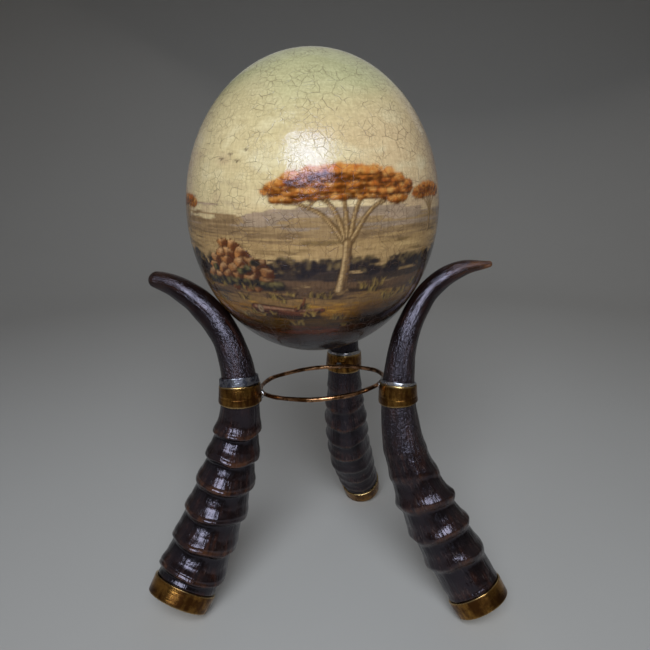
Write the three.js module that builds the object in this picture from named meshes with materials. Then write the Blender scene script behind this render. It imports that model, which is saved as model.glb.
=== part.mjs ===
import * as THREE from "three";

// A blown ostrich egg that rests on a stand of three antelope horns. Each horn has a brass cap
// on its foot and a brass collar at its waist, and a brass wire ring ties the collars together.
// Millimetres. +Z is up, +X to the right and +Y to the back, seen from the front of the stand.
// The origin is on the surface that the stand rests on, under the middle of the whole object.

// Clearance between pieces that touch end to end, and all round between a horn and its brass.
const GAP = 0.3;
const FIT = 0.6;

// The egg: a sphere drawn out along its height, a little narrower towards the top.
const EGG_WIDTH = 127.8;
const EGG_HEIGHT = 150.8;
const EGG_NARROWING = 0.009;
const EGG_CENTRE = new THREE.Vector3(-5.6, 3.2, 213.2);

// The wire ring, tilted a little: its right side is higher and its back lower.
const RING_RADIUS = 33.5;
const WIRE_DIAMETER = 2;
const RING_CENTRE = new THREE.Vector3(-2, 0, 118.1);
const RING_SLOPE_X = 0.0805;
const RING_SLOPE_Y = -0.0949;

// Thickness of the brass sheet and of the white metal, and the height of the caps on the feet.
const SHEET = 1;
const SEAT_SHEET = 0.7;
const CAP_HEIGHT = 9.6;

// Each leg is laid out in a frame turned about the stand's axis. path runs from the sole to the
// tip as [reach from the axis, sideways, height], and girth as [share of the length, diameter].
// Each ridge has its place along the path and its share of the ridges' height. The horns twist:
// above the collars the two front ones sweep back as well as out.
const LEGS = {
  left: {
    azimuth: 206,
    path: [
      [87.7, 1.6, 9.5], [79.6, -1.4, 21.0], [66.4, -3.4, 46.2], [55.0, -3.0, 75.4],
      [48.3, -1.6, 101.0], [47.0, 0, 119.7], [47.3, -3.5, 135.8], [50.9, -11.2, 151.1],
      [58.2, -21.2, 163.3], [68.9, -29.6, 172.5], [81.4, -36.5, 177.8],
    ],
    girth: [
      [0, 30.0], [0.1, 31.8], [0.22, 30.8], [0.36, 26.8], [0.5, 21.8], [0.6, 18.8],
      [0.69, 16.4], [0.81, 14.9], [0.91, 12.3], [1, 7.1],
    ],
    ridges: {
      pitch: 16.4, height: 2.0,
      at: [[16.6, 1], [34.0, 1], [52.0, 1], [69.8, 1], [85.9, 1], [99.0, 0.8]],
    },
    collar: { start: 116.0, height: 8.8, seat: 3.7 },
  },
  right: {
    azimuth: 331,
    path: [
      [94.4, 3.4, 8.1], [85.6, 4.0, 20.4], [69.4, 2.4, 46.6], [57.8, 0.8, 69.0],
      [49.0, 0, 91.0], [45.3, 0, 113.3], [44.7, 0.5, 125.8], [45.0, 7.1, 146.2],
      [48.2, 16.6, 161.8], [54.6, 25.0, 173.2], [66.4, 32.7, 181.2], [79.2, 40.0, 183.2],
    ],
    girth: [
      [0, 26.4], [0.1, 28.4], [0.22, 28.8], [0.36, 24.8], [0.48, 20.0], [0.56, 17.4],
      [0.67, 14.3], [0.79, 12.1], [0.9, 9.6], [1, 2.7],
    ],
    ridges: {
      pitch: 16, height: 1.8,
      at: [[15.4, 0.5], [31.7, 1], [48.3, 1], [63.8, 1], [79.7, 0.55], [93.4, 0.25]],
    },
    collar: { start: 119.6, height: 9.6, seat: 1.2 },
  },
  back: {
    azimuth: 73,
    path: [
      [90.0, -1.2, 5.6], [83.4, -0.6, 17.6], [66.4, 0.8, 44.6], [55.6, 0.8, 69.0],
      [48.6, 0.4, 97.0], [46.1, 0, 118.0], [48.3, 0, 138.0], [55.9, 0, 158.0],
      [66.1, 0, 173.0], [78.2, 0, 183.4], [91.2, 0, 188.6],
    ],
    girth: [
      [0, 22.4], [0.1, 24.6], [0.22, 26.0], [0.36, 25.0], [0.5, 20.8], [0.6, 18.0],
      [0.7, 15.6], [0.82, 13.6], [0.92, 10.2], [1, 4.0],
    ],
    ridges: {
      pitch: 12.6, height: 1.2,
      at: [
        [17.0, 1], [29.6, 1], [42.2, 1], [54.8, 1], [67.4, 1], [80.0, 1], [92.6, 0.7],
        [105.2, 0.2],
      ],
    },
    collar: { start: 116.0, height: 9.6, seat: 1.2 },
  },
};

// A ridge is narrower than the groove beside it. The ridges grow in over RIDGE_START above the
// cap.
const RIDGE_SHARPNESS = 1.5;
const RIDGE_START = 5;

// The tip is a blunt dome: most of the last radius, just short of the end.
const TIP_SHOULDER = 0.8;
const TIP_DOME = 0.4;

// How finely the round surfaces are faceted.
const EGG_SIDES = 34;
const EGG_ROWS = 22;
const HORN_SIDES = 16;
const RIDGED_STEP = 2.9;
const SMOOTH_STEP = 7;
const BRASS_SIDES = 28;
const WIRE_SIDES = 8;
const RING_SIDES = 44;

const MATERIALS = {
  egg: new THREE.MeshStandardMaterial({ color: "#b8b07c", roughness: 0.32, metalness: 0 }),
  horn: new THREE.MeshStandardMaterial({ color: "#2a1a14", roughness: 0.3, metalness: 0 }),
  brass: new THREE.MeshStandardMaterial({ color: "#a8742c", roughness: 0.35, metalness: 1 }),
  seat: new THREE.MeshStandardMaterial({ color: "#9a9793", roughness: 0.4, metalness: 1 }),
  wire: new THREE.MeshStandardMaterial({ color: "#9c6638", roughness: 0.3, metalness: 1 }),
};

function named(name, geometry, material) {
  const mesh = new THREE.Mesh(geometry, material);
  mesh.name = name;
  return mesh;
}

// A lathe shape whose axis is +Z, from [radius, height] points that run up its outside.
function turned(points, sides) {
  const outline = points.map(([radius, height]) => new THREE.Vector2(radius, height));
  return new THREE.LatheGeometry(outline, sides).rotateX(Math.PI / 2);
}

// Lays a straight shape along a path: its height becomes the distance along the path.
function bent(geometry, path) {
  const across = new THREE.Vector3(0, 1, 0);
  const length = path.getLength();
  const position = geometry.getAttribute("position");
  for (let i = 0; i < position.count; i += 1) {
    const share = THREE.MathUtils.clamp(position.getZ(i) / length, 0, 1);
    const tangent = path.getTangentAt(share);
    const outward = new THREE.Vector3().crossVectors(across, tangent).normalize();
    const sideways = new THREE.Vector3().crossVectors(tangent, outward);
    const point = path.getPointAt(share);
    point.addScaledVector(outward, position.getX(i));
    point.addScaledVector(sideways, position.getY(i));
    position.setXYZ(i, point.x, point.y, point.z);
  }
  return geometry;
}

function egg() {
  const points = [];
  for (let row = 0; row <= EGG_ROWS; row += 1) {
    const angle = (Math.PI * row) / EGG_ROWS;
    const fullness = 1 + EGG_NARROWING * Math.cos(angle);
    const radius = (EGG_WIDTH / 2) * Math.sin(angle) * fullness;
    points.push([row === EGG_ROWS ? 0 : radius, (-EGG_HEIGHT / 2) * Math.cos(angle)]);
  }
  const mesh = named("egg", turned(points, EGG_SIDES), MATERIALS.egg);
  mesh.position.copy(EGG_CENTRE);
  return mesh;
}

// The horn's radius without ridges, at a distance along a path of the given length.
function radiusOf(leg, length) {
  const outline = new THREE.CatmullRomCurve3(
    leg.girth.map(([share, diameter]) => new THREE.Vector3(share * length, diameter / 2, 0)),
  );
  const samples = outline.getPoints(200);
  return (distance) => {
    const past = samples.findIndex((sample) => sample.x >= distance);
    const next = past < 0 ? samples.length - 1 : Math.max(1, past);
    const before = samples[next - 1];
    const share = (distance - before.x) / (samples[next].x - before.x);
    return THREE.MathUtils.lerp(before.y, samples[next].y, THREE.MathUtils.clamp(share, 0, 1));
  };
}

// The growth rings stand out as rounded ridges, which start over the cap and end under the collar.
function ridgeAt(leg, distance) {
  const { pitch, height, at } = leg.ridges;
  const rise = THREE.MathUtils.smoothstep(distance, CAP_HEIGHT, CAP_HEIGHT + RIDGE_START);
  const crests = at.map(([place, share]) => {
    const turn = THREE.MathUtils.clamp((distance - place) / pitch, -0.5, 0.5);
    return share * (0.5 + 0.5 * Math.cos(2 * Math.PI * turn)) ** RIDGE_SHARPNESS;
  });
  return height * rise * Math.max(...crests);
}

function horn(leg, path) {
  const length = path.getLength();
  const radius = radiusOf(leg, length);
  const foot = SHEET + GAP;
  const points = [[0, foot]];
  let distance = foot;
  while (distance < length - SMOOTH_STEP / 2) {
    points.push([radius(distance) + ridgeAt(leg, distance), distance]);
    distance += distance < leg.collar.start ? RIDGED_STEP : SMOOTH_STEP;
  }
  const tip = radius(length);
  points.push([tip * TIP_SHOULDER, length - tip * TIP_DOME], [0, length]);
  return bent(turned(points, HORN_SIDES), path);
}

// A shallow cup of brass sheet over the horn's foot, its flat sole square to the horn.
function cap(leg, path) {
  const radius = radiusOf(leg, path.getLength());
  const low = radius(0) + FIT;
  const high = radius(CAP_HEIGHT) + FIT;
  const points = [
    [0, 0], [low + SHEET, 0], [high + SHEET, CAP_HEIGHT],
    [high, CAP_HEIGHT], [low, SHEET], [0, SHEET],
  ];
  return bent(turned(points, BRASS_SIDES), path);
}

// A band of sheet round the horn, from one distance along the path to another.
function band(leg, path, from, to, thickness) {
  const radius = radiusOf(leg, path.getLength());
  const low = radius(from) + FIT;
  const high = radius(to) + FIT;
  const points = [
    [low, from], [low + thickness, from], [high + thickness, to], [high, to], [low, from],
  ];
  return bent(turned(points, BRASS_SIDES), path);
}

function legPieces(side, leg) {
  const path = new THREE.CatmullRomCurve3(
    leg.path.map(([reach, sideways, height]) => new THREE.Vector3(reach, sideways, height)),
    false,
    "centripetal",
  );
  path.arcLengthDivisions = 800;
  const { start, height, seat } = leg.collar;
  const top = start + height;
  const seatStart = top + GAP;
  const group = new THREE.Group();
  group.add(
    named("horn_" + side, horn(leg, path), MATERIALS.horn),
    named("foot_cap_" + side, cap(leg, path), MATERIALS.brass),
    named("collar_" + side, band(leg, path, start, top, SHEET), MATERIALS.brass),
    named("seat_" + side, band(leg, path, seatStart, seatStart + seat, SEAT_SHEET), MATERIALS.seat),
  );
  group.position.set(RING_CENTRE.x, RING_CENTRE.y, 0);
  group.rotation.z = THREE.MathUtils.degToRad(leg.azimuth);
  return group;
}

function wireRing() {
  const geometry = new THREE.TorusGeometry(RING_RADIUS, WIRE_DIAMETER / 2, WIRE_SIDES, RING_SIDES);
  const mesh = named("wire_ring", geometry, MATERIALS.wire);
  const normal = new THREE.Vector3(-RING_SLOPE_X, -RING_SLOPE_Y, 1).normalize();
  mesh.quaternion.setFromUnitVectors(new THREE.Vector3(0, 0, 1), normal);
  mesh.position.copy(RING_CENTRE);
  return mesh;
}

const whole = new THREE.Group();
whole.add(egg(), wireRing());
for (const [side, leg] of Object.entries(LEGS)) {
  whole.add(legPieces(side, leg));
}

// The lowest point of each cap touches the surface, and the box's middle is over the origin.
whole.updateMatrixWorld(true);
const box = new THREE.Box3().setFromObject(whole, true);
const middle = box.getCenter(new THREE.Vector3());
whole.position.set(-middle.x, -middle.y, -box.min.z);

export default whole;
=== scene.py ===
from math import cos, pi, radians, sin, sqrt

import bpy
import numpy as np
from mathutils import Matrix, Vector


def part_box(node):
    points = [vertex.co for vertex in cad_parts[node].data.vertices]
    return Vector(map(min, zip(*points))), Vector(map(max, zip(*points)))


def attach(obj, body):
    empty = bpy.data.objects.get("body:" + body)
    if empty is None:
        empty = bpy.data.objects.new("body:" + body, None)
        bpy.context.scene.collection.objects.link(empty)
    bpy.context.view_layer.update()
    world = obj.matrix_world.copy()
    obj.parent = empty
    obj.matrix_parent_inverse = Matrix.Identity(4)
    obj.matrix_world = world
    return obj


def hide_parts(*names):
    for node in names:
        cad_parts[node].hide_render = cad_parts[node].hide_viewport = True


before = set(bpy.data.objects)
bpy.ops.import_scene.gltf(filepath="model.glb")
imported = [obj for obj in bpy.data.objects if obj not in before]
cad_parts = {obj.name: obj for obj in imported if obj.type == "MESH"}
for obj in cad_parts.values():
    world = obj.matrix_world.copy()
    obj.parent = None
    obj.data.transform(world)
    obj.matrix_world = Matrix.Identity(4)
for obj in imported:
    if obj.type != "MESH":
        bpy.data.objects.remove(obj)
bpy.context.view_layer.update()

bl_info = {
    "name": "Ostrich egg on a horn stand",
    "version": (1, 0, 0),
    "blender": (4, 5, 0),
    "location": "3D View > Sidebar > Egg stand",
    "description": "Makes a painted and varnished ostrich egg on a stand of three brass-bound horns",
    "category": "Add Mesh",
}

# Metres. +Z is up, +X to the right and +Y to the back, seen from the front of the stand.

# The legs, as in the frame. path runs from the sole to the tip as (reach from the ring's middle,
# sideways, height), girth is (share of the length, diameter), and ridges is (place along the path,
# share of the ridges' height). Past the last ridge they go on pitch apart. ridge is their height, even
# its share on the side away from the knob, crease how deep the crease over a lip is, lip and under how
# a ridge climbs from its foot, and droop where round the horn they sink and how far. keel is where the
# horn is widest, and knob where its ridges are highest, in degrees round it from its outer side.
RING_HEIGHT = 0.1181
LEGS = {
    "left": dict(
        azimuth=206,
        path=[
            (0.0877, 0.0016, 0.0095), (0.0796, -0.0014, 0.0210), (0.0664, -0.0034, 0.0462),
            (0.0550, -0.0030, 0.0754), (0.0483, -0.0016, 0.1010), (0.0470, 0, 0.1197),
            (0.0473, -0.0035, 0.1358), (0.0509, -0.0112, 0.1511), (0.0582, -0.0212, 0.1633),
            (0.0689, -0.0296, 0.1725), (0.0814, -0.0365, 0.1778),
        ],
        girth=[
            (0, 0.0300), (0.1, 0.0318), (0.22, 0.0308), (0.36, 0.0268), (0.5, 0.0218),
            (0.6, 0.0188), (0.69, 0.0164), (0.81, 0.0149), (0.91, 0.0123), (1, 0.0071),
        ],
        ridges=[
            (0.0180, 1), (0.0350, 1), (0.0526, 1), (0.0703, 1), (0.0864, 1), (0.0996, 0.8),
        ],
        pitch=0.0164, ridge=0.0035, even=0.46, knob=70, knob_width=58, crease=0.11, droop=(164, -0.0035),
        lip=1.0, under=0.19,
        fibre=0.4, keel=20, seed=11,
        collar=0.1160, collar_height=0.0088, seat=0.0037, tip_glow=0.10,
    ),
    "right": dict(
        azimuth=331,
        path=[
            (0.0944, 0.0034, 0.0081), (0.0856, 0.0040, 0.0204), (0.0694, 0.0024, 0.0466),
            (0.0578, 0.0008, 0.0690), (0.0490, 0, 0.0910), (0.0453, 0, 0.1133),
            (0.0447, 0.0005, 0.1258), (0.0450, 0.0071, 0.1462), (0.0482, 0.0166, 0.1618),
            (0.0546, 0.0250, 0.1732), (0.0664, 0.0327, 0.1812), (0.0792, 0.0400, 0.1832),
        ],
        girth=[
            (0, 0.0264), (0.1, 0.0284), (0.22, 0.0288), (0.36, 0.0248), (0.48, 0.0200),
            (0.56, 0.0174), (0.67, 0.0143), (0.79, 0.0121), (0.9, 0.0096), (1, 0.0027),
        ],
        ridges=[
            (0.0154, 0.2), (0.0318, 1), (0.0489, 1), (0.0668, 0.9), (0.0824, 0.35), (0.0950, 0.15),
        ],
        pitch=0.0160, ridge=0.0025, even=0.80, knob=-10, knob_width=62, crease=0.03, droop=(16, 0.0040),
        lip=0.88, under=0.36,
        fibre=1.0, keel=-30, seed=23,
        collar=0.1196, collar_height=0.0096, seat=0.0012, tip_glow=1.0,
    ),
    "back": dict(
        azimuth=73,
        path=[
            (0.0900, -0.0012, 0.0056), (0.0834, -0.0006, 0.0176), (0.0664, 0.0008, 0.0446),
            (0.0556, 0.0008, 0.0690), (0.0486, 0.0004, 0.0970), (0.0461, 0, 0.1180),
            (0.0483, 0, 0.1380), (0.0559, 0, 0.1580), (0.0661, 0, 0.1730), (0.0782, 0, 0.1834),
            (0.0912, 0, 0.1886),
        ],
        girth=[
            (0, 0.0224), (0.1, 0.0246), (0.22, 0.0260), (0.36, 0.0250), (0.5, 0.0208),
            (0.6, 0.0180), (0.7, 0.0156), (0.82, 0.0136), (0.92, 0.0102), (1, 0.0040),
        ],
        ridges=[
            (0.0170, 1), (0.0296, 1), (0.0422, 1), (0.0548, 1), (0.0674, 1), (0.0800, 1),
            (0.0926, 0.7), (0.1052, 0.2),
        ],
        pitch=0.0126, ridge=0.0020, even=0.60, knob=107, knob_width=48, crease=0.05, droop=(0, 0),
        lip=0.9, under=0.26,
        fibre=0.7, keel=0, seed=37,
        collar=0.1160, collar_height=0.0096, seat=0.0012, tip_glow=0.5,
    ),
}

# The frame's clearances and sheets, and how far the brass stands off the horn here.
FOOT = 0.0013
CAP_HEIGHT = 0.0096
SNUG = 0.0002
CAP_WALL = 0.0014
COLLAR_WALL = 0.0012
SEAT_WALL = 0.0011
BROAD_SEAT = 0.002

# The wire ring: its own radius, the wire's, and how its plane rises to the right and to the back. Then
# how far from its middle a bead of solder is, and half the bead's size outwards, sideways and up.
RING_RADIUS = 0.0335
WIRE_RADIUS = 0.00117
RING_SLOPE = (0.0805, -0.0949)
BEAD_REACH = 0.0349
BEAD_HALF = (0.0014, 0.0017, 0.0021)

# The egg: how much fuller it is towards its foot, and its radius at the hills, about the picture's
# middle and over the whole shell.
EGG_NARROWING = 0.009
HILLS_RADIUS = 0.064
PICTURE_RADIUS = 0.0625
SKIN_RADIUS = 0.068


# Number work on whole arrays

def smooth(value, low, high):
    """0 below low, 1 above high, and an S-shaped climb between them."""
    share = np.clip((value - low) / (high - low), 0, 1)
    return share * share * (3 - 2 * share)


def hump(value, middle, width):
    """A bell curve: 1 at the middle, and about a third of that one width away."""
    return np.exp(-(((value - middle) / width) ** 2))


def uneven(points, size, seed, waves=28):
    """A smooth random field, about -1 to 1: the sum of plane waves, about size long, in random
    directions."""
    rng = np.random.default_rng(seed)
    points = np.asarray(points) / size
    total = np.zeros(points.shape[:-1])
    for _ in range(waves):
        direction = rng.normal(size=points.shape[-1])
        direction *= 2 * pi / (np.linalg.norm(direction) * rng.uniform(0.6, 1.7))
        total += np.sin(points @ direction + rng.uniform(0, 2 * pi))
    return total / sqrt(waves)


def curve_through(points, count):
    """A centripetal Catmull-Rom curve: between two points it is the cubic whose slopes at both ends come
    from the neighbours, each weighed by the square root of its distance."""
    points = np.asarray(points, float)
    ends = 2 * points[0] - points[1], 2 * points[-1] - points[-2]
    points = np.vstack([ends[0], points, ends[1]])
    place = np.linspace(0, len(points) - 3, count)
    span = np.minimum(place.astype(int), len(points) - 4)
    t = (place - span)[:, None]
    a, b, c, d = (points[span + k] for k in range(4))
    before, along, after = (
        np.sqrt(np.linalg.norm(q - p, axis=1, keepdims=True)) for p, q in ((a, b), (b, c), (c, d))
    )
    leave = ((b - a) / before - (c - a) / (before + along) + (c - b) / along) * along
    arrive = ((c - b) / along - (d - b) / (along + after) + (d - c) / after) * along
    cubic = 2 * b - 2 * c + leave + arrive
    square = 3 * c - 3 * b - 2 * leave - arrive
    return b + leave * t + square * t ** 2 + cubic * t ** 3


def spaced(start, end, gap):
    """Places from start to end whose gaps follow gap(place)."""
    fine = np.linspace(start, end, 4000)
    count = np.concatenate([[0], np.cumsum(np.diff(fine) / gap(fine[1:]))])
    return np.interp(np.linspace(0, count[-1], round(count[-1]) + 1), count, fine)


def rounded_outline(corners, radius, step, closed):
    """A line of (radius, distance) points through the corners, each of which is turned by a parabola that
    starts and ends one radius from it, with points about a step apart on the straight stretches."""
    corners = np.asarray(corners, float)
    middle = corners if closed else corners[1:-1]
    before = np.roll(corners, 1, 0) if closed else corners[:-2]
    after = np.roll(corners, -1, 0) if closed else corners[2:]
    t = np.linspace(0, 1, 6)[:, None]
    pieces = [] if closed else [corners[:1]]
    for a, b, c in zip(before, middle, after):
        come = b + (a - b) * min(0.45, radius / np.linalg.norm(a - b))
        go = b + (c - b) * min(0.45, radius / np.linalg.norm(c - b))
        pieces.append((1 - t) ** 2 * come + 2 * t * (1 - t) * b + t * t * go)
    pieces += [pieces[0][:1]] if closed else [corners[-1:]]
    line = np.vstack(pieces)
    lengths = np.linalg.norm(np.diff(line, axis=0), axis=1)
    stretches = [
        p + (q - p) * np.linspace(0, 1, max(1, round(size / step)), endpoint=False)[:, None]
        for p, q, size in zip(line[:-1], line[1:], lengths)
        if size > 1e-9
    ]
    return np.vstack(stretches if closed else stretches + [line[-1:]])


class Leg:
    """One horn's middle line with the directions across it, and its girth."""

    SAMPLES = 2401

    def __init__(self, side):
        self.side = side
        for name, value in LEGS[side].items():
            setattr(self, name, value)
        turn = radians(self.azimuth)
        spin = np.array([[cos(turn), sin(turn), 0], [-sin(turn), cos(turn), 0], [0, 0, 1]])
        foot = ring_centre() - np.array([0, 0, RING_HEIGHT])
        points = curve_through(self.path, self.SAMPLES) @ spin + foot
        steps = np.linalg.norm(np.diff(points, axis=0), axis=1)
        self.along = np.concatenate([[0], np.cumsum(steps)])
        self.length = self.along[-1]
        tangent = np.gradient(points, self.along, axis=0)
        outward = np.cross(spin[1], tangent)
        outward /= np.linalg.norm(outward, axis=1, keepdims=True)
        sideways = np.cross(tangent, outward)
        sideways /= np.linalg.norm(sideways, axis=1, keepdims=True)
        self.lines = points, outward, sideways
        share = np.array(self.girth) * (self.length, 0.5)
        self.outline = curve_through(share, 201)

    def radius(self, distance):
        """Half the horn's width at that distance from its foot, read off its outline."""
        return np.interp(distance, self.outline[:, 0], self.outline[:, 1])

    def oval(self, angle):
        """How much wider the horn is in each direction than a round one."""
        turn = angle - radians(self.keel)
        return 1 + 0.02 * np.cos(2 * turn) + 0.006 * np.cos(3 * turn)

    def place(self, distance, angle, radius):
        """The point at that distance along the middle line, at that angle round it and radius from it."""
        middle, outward, sideways = (
            np.stack([np.interp(distance, self.along, line[:, k]) for k in range(3)], -1)
            for line in self.lines
        )
        across = np.cos(angle)[..., None] * outward + np.sin(angle)[..., None] * sideways
        return middle + radius[..., None] * across


def ring_centre():
    """The middle of the wire ring's box, which the legs stand round."""
    low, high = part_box("wire_ring")
    return np.array((low + high) / 2)


def round_angles(count):
    """That many equal steps round a full turn, without its end."""
    return np.linspace(0, 2 * pi, count, endpoint=False)


def away_from(angle, degrees):
    """How many degrees round the horn each angle is from the given one."""
    return np.abs((np.degrees(angle) - degrees + 180) % 360 - 180)


def grain_of(distance, angle, radius=0.01):
    """Coordinates that follow a horn without a seam: round it on a circle of one radius, and along it."""
    return np.stack([radius * np.cos(angle), radius * np.sin(angle), distance], -1)


# Meshes

# An attribute's kind and its data's name, by how many numbers each point has.
ATTRIBUTE_KINDS = {1: ("FLOAT", "value"), 3: ("FLOAT_VECTOR", "vector"), 4: ("FLOAT_COLOR", "color")}


def surface(name, points, ends="closed", values=None):
    """A mesh of points[row, column] whose columns go round. Rows end in fans with "closed", join with
    "joined", and with "open" only the first row has a fan. values holds an attribute for each name."""
    rows, columns = points.shape[:2]
    index = np.arange(rows * columns).reshape(rows, columns)
    if ends == "joined":
        index = np.vstack([index, index[:1]])
    beside = np.roll(index, -1, axis=1)
    quads = np.stack([index[:-1], beside[:-1], beside[1:], index[1:]], -1).reshape(-1, 4)
    poles = {"closed": [0, -1], "open": [0], "joined": []}[ends]
    fans = []
    for number, row in enumerate(poles):
        pole = np.full(columns, rows * columns + number)
        fan = (pole, beside[row], index[row]) if row == 0 else (pole, index[row], beside[row])
        fans.append(np.stack(fan, -1))

    def with_poles(grid):
        """The grid's values as a list, and after them each pole's: the mean of the row it closes."""
        flat = grid.reshape(rows * columns, -1)
        return np.vstack([flat] + [grid[row].reshape(columns, -1).mean(0) for row in poles])

    vertices = with_poles(points)
    corners = np.vstack([quads[:, :3], quads[:, [0, 2, 3]]] + fans)
    a, b, c = (vertices[corners[:, k]] for k in range(3))
    if (a * np.cross(b, c)).sum() < 0 and ends != "open":
        quads = quads[:, ::-1]
        fans = [fan[:, ::-1] for fan in fans]
    mesh = bpy.data.meshes.new(name)
    mesh.from_pydata(vertices.tolist(), [], quads.tolist() + [f for fan in fans for f in fan.tolist()])
    mesh.shade_smooth()
    for key, grid in (values or {}).items():
        flat = with_poles(grid)
        kind, field = ATTRIBUTE_KINDS[flat.shape[1]]
        mesh.attributes.new(key, kind, "POINT").data.foreach_set(field, flat.astype(np.float32).ravel())
    mesh.update()
    piece = bpy.data.objects.new(name, mesh)
    bpy.context.scene.collection.objects.link(piece)
    return piece


def hand_over(piece, finish, slot, *nodes):
    """Gives the piece its finish, sets it on the stand's one body and hides the nodes it stands for."""
    piece.data.materials.append(finish)
    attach(piece, "root")
    if nodes:
        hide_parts(*nodes)


# Colours

def tone(code):
    """The linear colour of a six-digit screen colour. A colour that is linear already stays as it is."""
    if not isinstance(code, str):
        return code
    screen = np.array([int(code[k:k + 2], 16) for k in (0, 2, 4)]) / 255
    return np.where(screen <= 0.04045, screen / 12.92, ((screen + 0.055) / 1.055) ** 2.4)


# The painting

class Canvas:
    """The egg's surface as a grid to paint on, with the painting's main paints. Azimuths are in radians
    from the front, positive to the right; heights are from the egg's middle."""

    # How wide the soft edge of a touch of the brush is.
    EDGE = 0.0007

    def __init__(self, azimuth, height, radius, settings):
        self.azimuth, self.height, self.radius = azimuth, height, radius
        across = radius[:, None]
        places = across * np.sin(azimuth), -across * np.cos(azimuth), height[:, None]
        self.place = np.stack(np.broadcast_arrays(*places), -1)
        self.colour = np.zeros(self.place.shape)
        for name in ("leaves", "stone", "wood", "sky", "plain", "ground"):
            setattr(self, name, np.array(getattr(settings, name)))

    def field(self, size, seed, flat=1):
        """A smooth random field over the shell, about size across and flattened so many times."""
        return uneven(self.place * (1, 1, flat), size, seed)

    def wash(self, paint, cover):
        """Paint over everything, as thick as cover says."""
        self.colour += (tone(paint) - self.colour) * cover[..., None]

    def window(self, at, reach):
        """The part of the grid within reach of a point, and how far right and up its places are."""
        azimuth, height = radians(at[0]), at[1]
        radius = np.interp(height, self.height, self.radius)
        turn = (self.azimuth - azimuth + pi) % (2 * pi) - pi
        rows = np.flatnonzero(np.abs(self.height - height) < reach)
        columns = np.flatnonzero(np.abs(turn) < reach / radius)
        right = turn[columns] * self.radius[rows, None]
        up = (self.height[rows] - height)[:, None] + 0 * right
        return np.ix_(rows, columns), right, up

    def touch(self, part, paint, cover):
        """Paint on one part of the grid."""
        self.colour[part] += (tone(paint) - self.colour[part]) * np.clip(cover, 0, 1)[..., None]

    def dab(self, at, size, tilt, paint, strength=1.0):
        """An oval touch of the brush. size is half its length and half its width."""
        part, right, up = self.window(at, max(size) + self.EDGE)
        c, s = cos(radians(tilt)), sin(radians(tilt))
        far = np.hypot((right * c + up * s) / size[0], (up * c - right * s) / size[1])
        edge = self.EDGE / min(size)
        self.touch(part, paint, strength * (1 - smooth(far, 1 - edge, 1 + edge)))

    def stroke(self, at, points, widths, paint, strength=1.0):
        """A line of paint on a smooth curve through points that are to the right and up from at."""
        line = curve_through(points, 12 * len(points))
        half = np.interp(np.linspace(0, 1, len(line)), np.linspace(0, 1, len(widths)), widths) / 2
        reach = np.abs(line).max() + half.max() + self.EDGE
        part, right, up = self.window(at, reach)
        gap = np.hypot(right[..., None] - line[:, 0], up[..., None] - line[:, 1]) - half
        self.touch(part, paint, strength * (0.5 - gap.min(-1) / self.EDGE))

    def skyline(self, middle, swing, size, seed):
        """How far each place is below a hilly line round the egg."""
        flat = self.place * (1, 1, 0) + (0, 0, seed)
        across = np.linalg.norm(flat[..., :2], axis=-1, keepdims=True)
        unit = flat / np.maximum(across, 1e-6) * HILLS_RADIUS
        line = middle + swing * (uneven(unit, size, seed) + 0.12 * uneven(unit, size / 6, seed + 1))
        return line - self.place[..., 2]

    def beyond(self, start, end, side=1, start_back=120, end_back=170):
        """1 past an azimuth on one side, fading out before the back. The limits are in degrees."""
        turn = np.degrees(side * self.azimuth)[None, :]
        return smooth(turn, start, end) * (1 - smooth(turn, start_back, end_back))


def shifted(at, right, up):
    """The place that is so far to the right of, and up from, another on the egg's front."""
    return at[0] + np.degrees(right / PICTURE_RADIUS), at[1] + up


# The colours of the sky from the horizon up, and of the ground from the thicket down, each with the
# heights between which it comes in.
SKY_BANDS = (
    ("dcc08f", -1, 0), ("dcc592", 0.004, 0.020), ("cebc8c", 0.022, 0.046),
    ("bcb688", 0.042, 0.062), ("b6b286", 0.060, 0.074),
)
# Towards the egg's foot these bands go near-black: partly the painting's dark ground, partly painted
# shade where the light falls off under the egg.
GROUND_BANDS = (
    ("634a34", -0.0275, -0.0295), ("8a683e", -0.0345, -0.0365), ("96651f", -0.0390, -0.0420),
    ("4e3612", -0.0450, -0.0480), ("40230c", -0.0500, -0.0540), ("1e0f06", -0.0560, -0.0620),
    ("090604", -0.0640, -0.0690),
)


def paint_sky(canvas):
    """Bands of sky from the zenith to the horizon, and soft warm cloud low down."""
    height = canvas.place[..., 2]
    drift = 0.008 * canvas.field(0.05, 1)
    for paint, low, high in SKY_BANDS:
        canvas.wash(tone(paint) * canvas.sky, smooth(height + drift, low, high))
    warm_side = smooth(np.cos(canvas.azimuth - radians(62))[None, :], 0.2, 1)
    canvas.wash("d3a985", 0.42 * warm_side * hump(height + drift, 0.018, 0.026))
    cloud = canvas.field(0.034, 2, 2.4) + 0.4 * canvas.field(0.011, 3, 2)
    canvas.wash("b28f72", 0.55 * smooth(cloud, 0.0, 1.3) * hump(height, 0.012, 0.018))
    canvas.wash("ecdcb0", 0.5 * smooth(-cloud, 0.2, 1.3) * hump(height, 0.024, 0.024))
    canvas.wash("9d8168", 0.35 * smooth(canvas.field(0.026, 4, 5), 0.5, 1.6) * hump(height, 0.008, 0.009))
    high_up = smooth(height, -0.012, 0.02) * (1 - smooth(height, 0.03, 0.06))
    # Painted light and shade at the sky's sides: a pale wash lightens the left edge and a greyer lilac
    # wash darkens the right.
    for side, paint in ((-1, "e2c9b8"), (1, "a8928c")):
        canvas.wash(paint, 0.5 * canvas.beyond(46, 80, side, 110) * high_up)


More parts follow.
